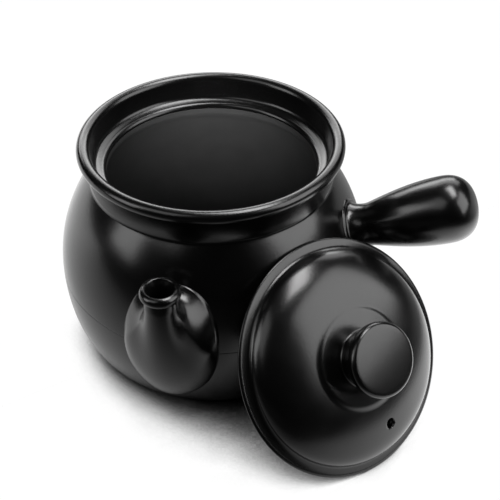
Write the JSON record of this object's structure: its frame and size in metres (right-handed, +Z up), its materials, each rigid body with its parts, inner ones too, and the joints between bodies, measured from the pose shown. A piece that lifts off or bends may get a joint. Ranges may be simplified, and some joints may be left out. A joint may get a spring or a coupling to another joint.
{
  "type": "clay decoction pot",
  "caption": "Bellied black-glazed clay pot with a flared collar, a pear-shaped side spout, a hollow stick handle and a loose domed lid with a knob, for simmering and pouring herbal brews or soup.",
  "frame": {"origin": "centre of the pot's flat base, on the table", "axes": "+Z up along the pot's axis, +X towards the handle, -Y towards the spout"},
  "size_m": [0.2574, 0.2305, 0.1465],
  "materials": {
    "black_glaze": "satin black glaze over clay, with a fine orange-peel grain"
  },
  "bodies": {
    "pot": {"lower_bowl": "black_glaze", "upper_body": "black_glaze", "spout": "black_glaze", "handle": "black_glaze"},
    "lid": {"lid": "black_glaze", "lid_knob": "black_glaze"}
  },
  "joints": [
    {"name": "lid_lift", "type": "slide", "parent": "pot", "child": "lid", "axis": [0.6494, -0.5074, 0.5664], "range_m": [0, 0.15]}
  ]
}
